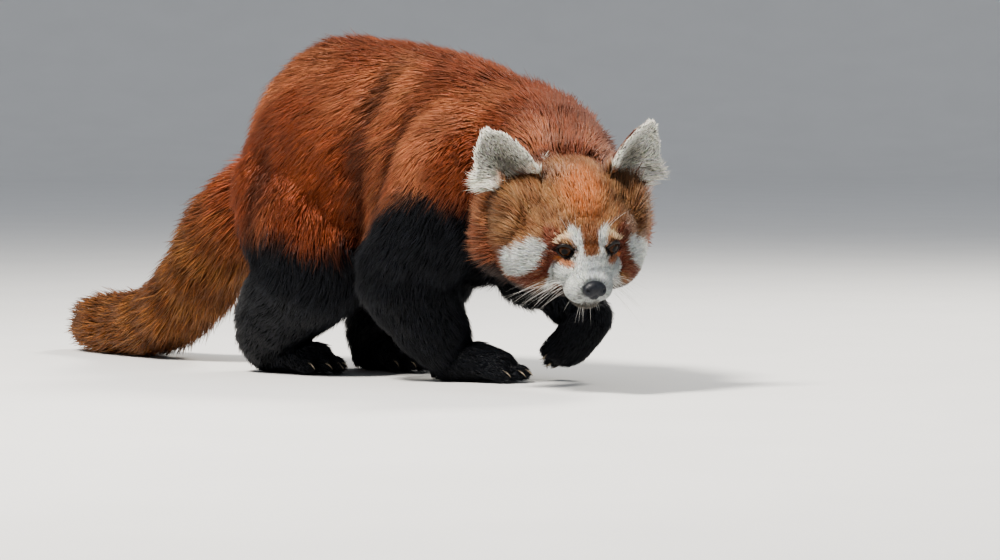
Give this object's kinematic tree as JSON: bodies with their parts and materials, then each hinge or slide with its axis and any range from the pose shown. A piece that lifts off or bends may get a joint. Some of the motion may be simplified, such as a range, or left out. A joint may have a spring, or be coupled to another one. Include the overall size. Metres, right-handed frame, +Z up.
{
  "type": "red panda",
  "caption": "Life-size red panda walking with its head low and turned, one forepaw lifted and its thick tail trailing to the floor.",
  "frame": {"origin": "on the floor, under the middle of the box round the whole animal", "axes": "+X the way the body walks and its longest extent, +Y the animal's left, +Z up"},
  "size_m": [0.7954, 0.2592, 0.3],
  "materials": {
    "torso_coat": "deep rust-red plush coat, darker along the back and black below",
    "neck_coat": "rust-red coat, browner toward the head",
    "head_coat": "tan-brown coat with white muzzle, cheeks and brows",
    "ear_coat": "white-edged coat, grey in the cup, dark red behind",
    "nose_pad": "moist black, bluish shine",
    "eye_brown": "glossy dark brown",
    "foreleg_upper_coat": "rust-red coat turning black below the shoulder",
    "hindleg_upper_coat": "rust-red coat turning black at the knee",
    "leg_coat": "black coat",
    "paw_coat": "black coat with pale claws",
    "tail_coat": "ochre-red shaggy coat with faint paler and darker rings"
  },
  "bodies": {
    "root": {"torso": "torso_coat", "neck": "neck_coat", "head": "head_coat", "nose": "nose_pad", "ear_left": "ear_coat", "ear_right": "ear_coat", "eye_left": "eye_brown", "eye_right": "eye_brown", "tail": "tail_coat", "foreleg_upper_left": "foreleg_upper_coat", "hindleg_upper_left": "hindleg_upper_coat", "foreleg_lower_left": "leg_coat", "hindleg_lower_left": "leg_coat", "forepaw_left": "paw_coat", "hindpaw_left": "paw_coat", "foreleg_upper_right": "foreleg_upper_coat", "hindleg_upper_right": "hindleg_upper_coat", "foreleg_lower_right": "leg_coat", "hindleg_lower_right": "leg_coat", "forepaw_right": "paw_coat", "hindpaw_right": "paw_coat"}
  },
  "joints": []
}
